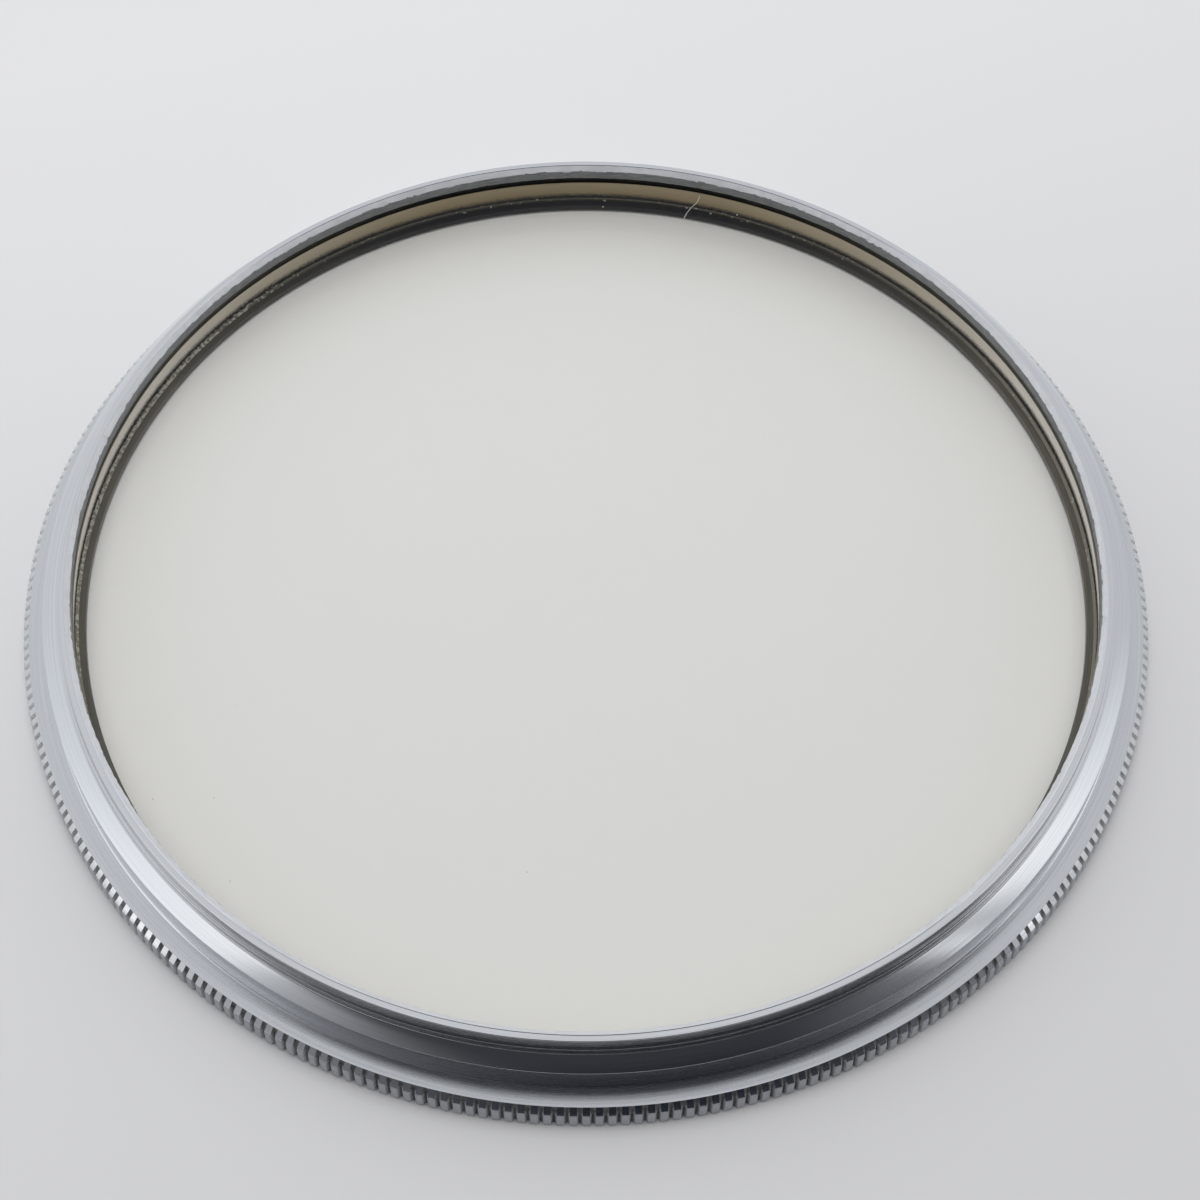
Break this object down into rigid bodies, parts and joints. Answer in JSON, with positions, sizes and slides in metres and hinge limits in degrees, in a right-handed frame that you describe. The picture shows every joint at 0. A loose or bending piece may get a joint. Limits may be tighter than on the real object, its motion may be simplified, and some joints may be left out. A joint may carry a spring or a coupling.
{
  "type": "ultraviolet lens filter",
  "caption": "Round lens filter: a turned aluminium ring with a knurled flange, a stepped collar and a rolled lip that holds a clear, plane glass disc.",
  "frame": {"origin": "middle of the underside, on the surface that the ring stands on", "axes": "+Z is the optical axis, from the knurled flange to the rolled lip; X and Y lie in the underside"},
  "size_m": [0.058, 0.058, 0.0044],
  "materials": {
    "turned_aluminium": "turned and polished bare aluminium, with a knurled edge",
    "filter_glass": "clear, faintly warm, polished faces and a ground edge"
  },
  "bodies": {
    "root": {"mount_ring": "turned_aluminium", "filter_glass": "filter_glass"}
  },
  "joints": []
}
